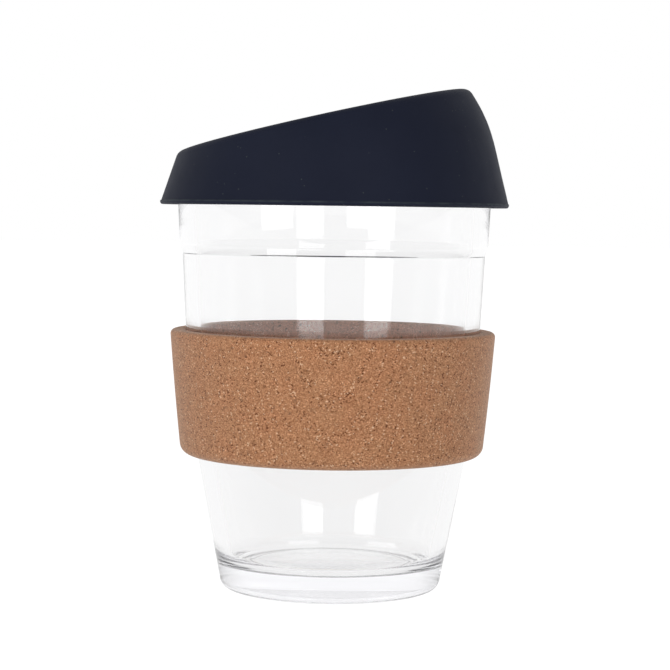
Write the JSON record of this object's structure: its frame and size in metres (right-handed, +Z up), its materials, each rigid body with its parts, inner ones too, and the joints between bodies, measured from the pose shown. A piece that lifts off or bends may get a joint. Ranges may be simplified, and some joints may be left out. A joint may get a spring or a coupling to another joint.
{
  "type": "reusable coffee cup",
  "caption": "Reusable coffee cup: tapered clear glass tumbler with a solid base, a cork heat band round its waist and a slanted push-on silicone lid with a drinking slot.",
  "frame": {"origin": "middle of the foot ring, on the plane the cup stands on", "axes": "+Z up along the cup's axis, +X towards the lid's high side, where the drinking slot is"},
  "size_m": [0.093, 0.093, 0.1338],
  "materials": {
    "clear_glass": "clear, polished",
    "cork": "matt pressed cork granules",
    "silicone": "smooth matt silicone, dark navy"
  },
  "bodies": {
    "cup": {"glass_cup": "clear_glass"},
    "band": {"cork_band": "cork"},
    "lid": {"silicone_lid": "silicone"}
  },
  "joints": [
    {"name": "lid_lift", "type": "slide", "parent": "cup", "child": "lid", "axis": [0, 0, 1], "range_m": [0, 0.06]},
    {"name": "band_slide", "type": "slide", "parent": "cup", "child": "band", "axis": [0, 0, -1], "range_m": [0, 0.0349]}
  ]
}
